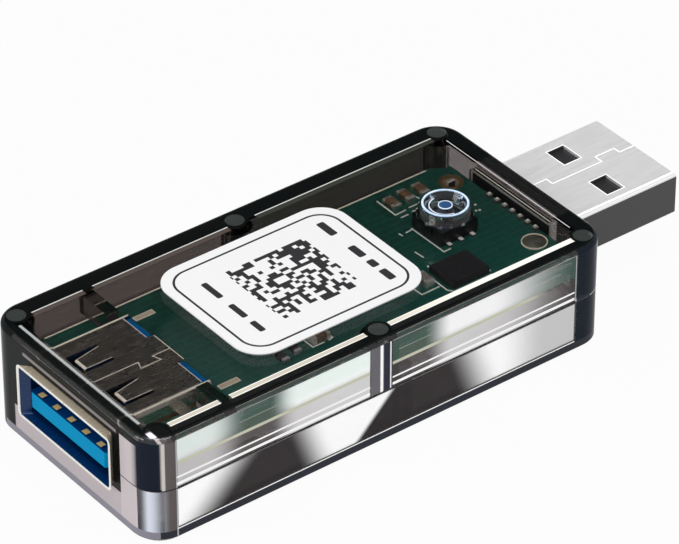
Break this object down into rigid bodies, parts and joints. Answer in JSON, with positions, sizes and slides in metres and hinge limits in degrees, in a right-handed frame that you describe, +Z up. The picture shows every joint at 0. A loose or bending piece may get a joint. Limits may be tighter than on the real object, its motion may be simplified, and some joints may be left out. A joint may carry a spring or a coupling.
{
  "type": "smart usb wifi switch",
  "caption": "Smart USB radio switch in a smoke-clear two-part casing, with a plug at one end, a blue-tongued socket at the other, a plain label and a clear push button.",
  "frame": {"origin": "centre of the casing's flat underside", "axes": "+X along the length towards the plug, +Y across, +Z up out of the label"},
  "size_m": [0.0682, 0.0254, 0.0119],
  "materials": {
    "clear_casing": "smoke-clear, polished",
    "clear_button": "clear, faint blue",
    "label_paper": "satin paper",
    "board_green": "dark green solder mask",
    "gold_plating": "gold plated",
    "solder": "reflowed solder",
    "plug_steel": "bright stamped steel",
    "socket_steel": "nickel, warm",
    "black_plastic": "black moulding",
    "blue_plastic": "bright blue moulding",
    "chip_black": "black epoxy",
    "chip_metal": "stamped can",
    "ceramic_tan": "fired ceramic",
    "ceramic_white": "white ceramic"
  },
  "bodies": {
    "housing": {"upper_shell": "clear_casing", "lower_shell": "clear_casing", "label": "label_paper", "circuit_board": "board_green", "plated_rings": "gold_plating", "pin_joints": "solder", "plug_shell": "plug_steel", "plug_insulator": "black_plastic", "plug_contact_1": "gold_plating", "plug_contact_2": "gold_plating", "plug_contact_3": "gold_plating", "plug_contact_4": "gold_plating", "socket_shell": "socket_steel", "socket_insulator": "blue_plastic", "socket_fast_contact_1": "gold_plating", "socket_fast_contact_2": "gold_plating", "socket_fast_contact_3": "gold_plating", "socket_fast_contact_4": "gold_plating", "socket_fast_contact_5": "gold_plating", "socket_main_contact_1": "gold_plating", "socket_main_contact_2": "gold_plating", "socket_main_contact_3": "gold_plating", "socket_main_contact_4": "gold_plating", "switch_base": "black_plastic", "switch_cover": "chip_metal", "switch_dome": "chip_metal", "switch_terminals": "solder", "wifi_chip": "chip_black", "flash_chip": "chip_black", "crystal": "chip_metal", "regulator": "chip_black", "inductor": "chip_black", "chip_antenna": "ceramic_white", "load_switch": "chip_black", "diode": "chip_black", "status_led": "ceramic_white", "capacitor_1": "ceramic_tan", "capacitor_2": "ceramic_tan", "capacitor_3": "ceramic_tan", "capacitor_4": "ceramic_tan", "capacitor_5": "ceramic_tan", "capacitor_6": "ceramic_tan", "resistor_1": "chip_black", "resistor_2": "chip_black", "resistor_3": "chip_black", "resistor_4": "chip_black"},
    "button": {"push_button": "clear_button", "switch_plunger": "black_plastic"}
  },
  "joints": [
    {"name": "button_press", "type": "slide", "parent": "housing", "child": "button", "axis": [0, 0, -1], "range_m": [0, 0.00025], "stiffness_N_per_m": 400, "springref_m": -0.0005}
  ]
}
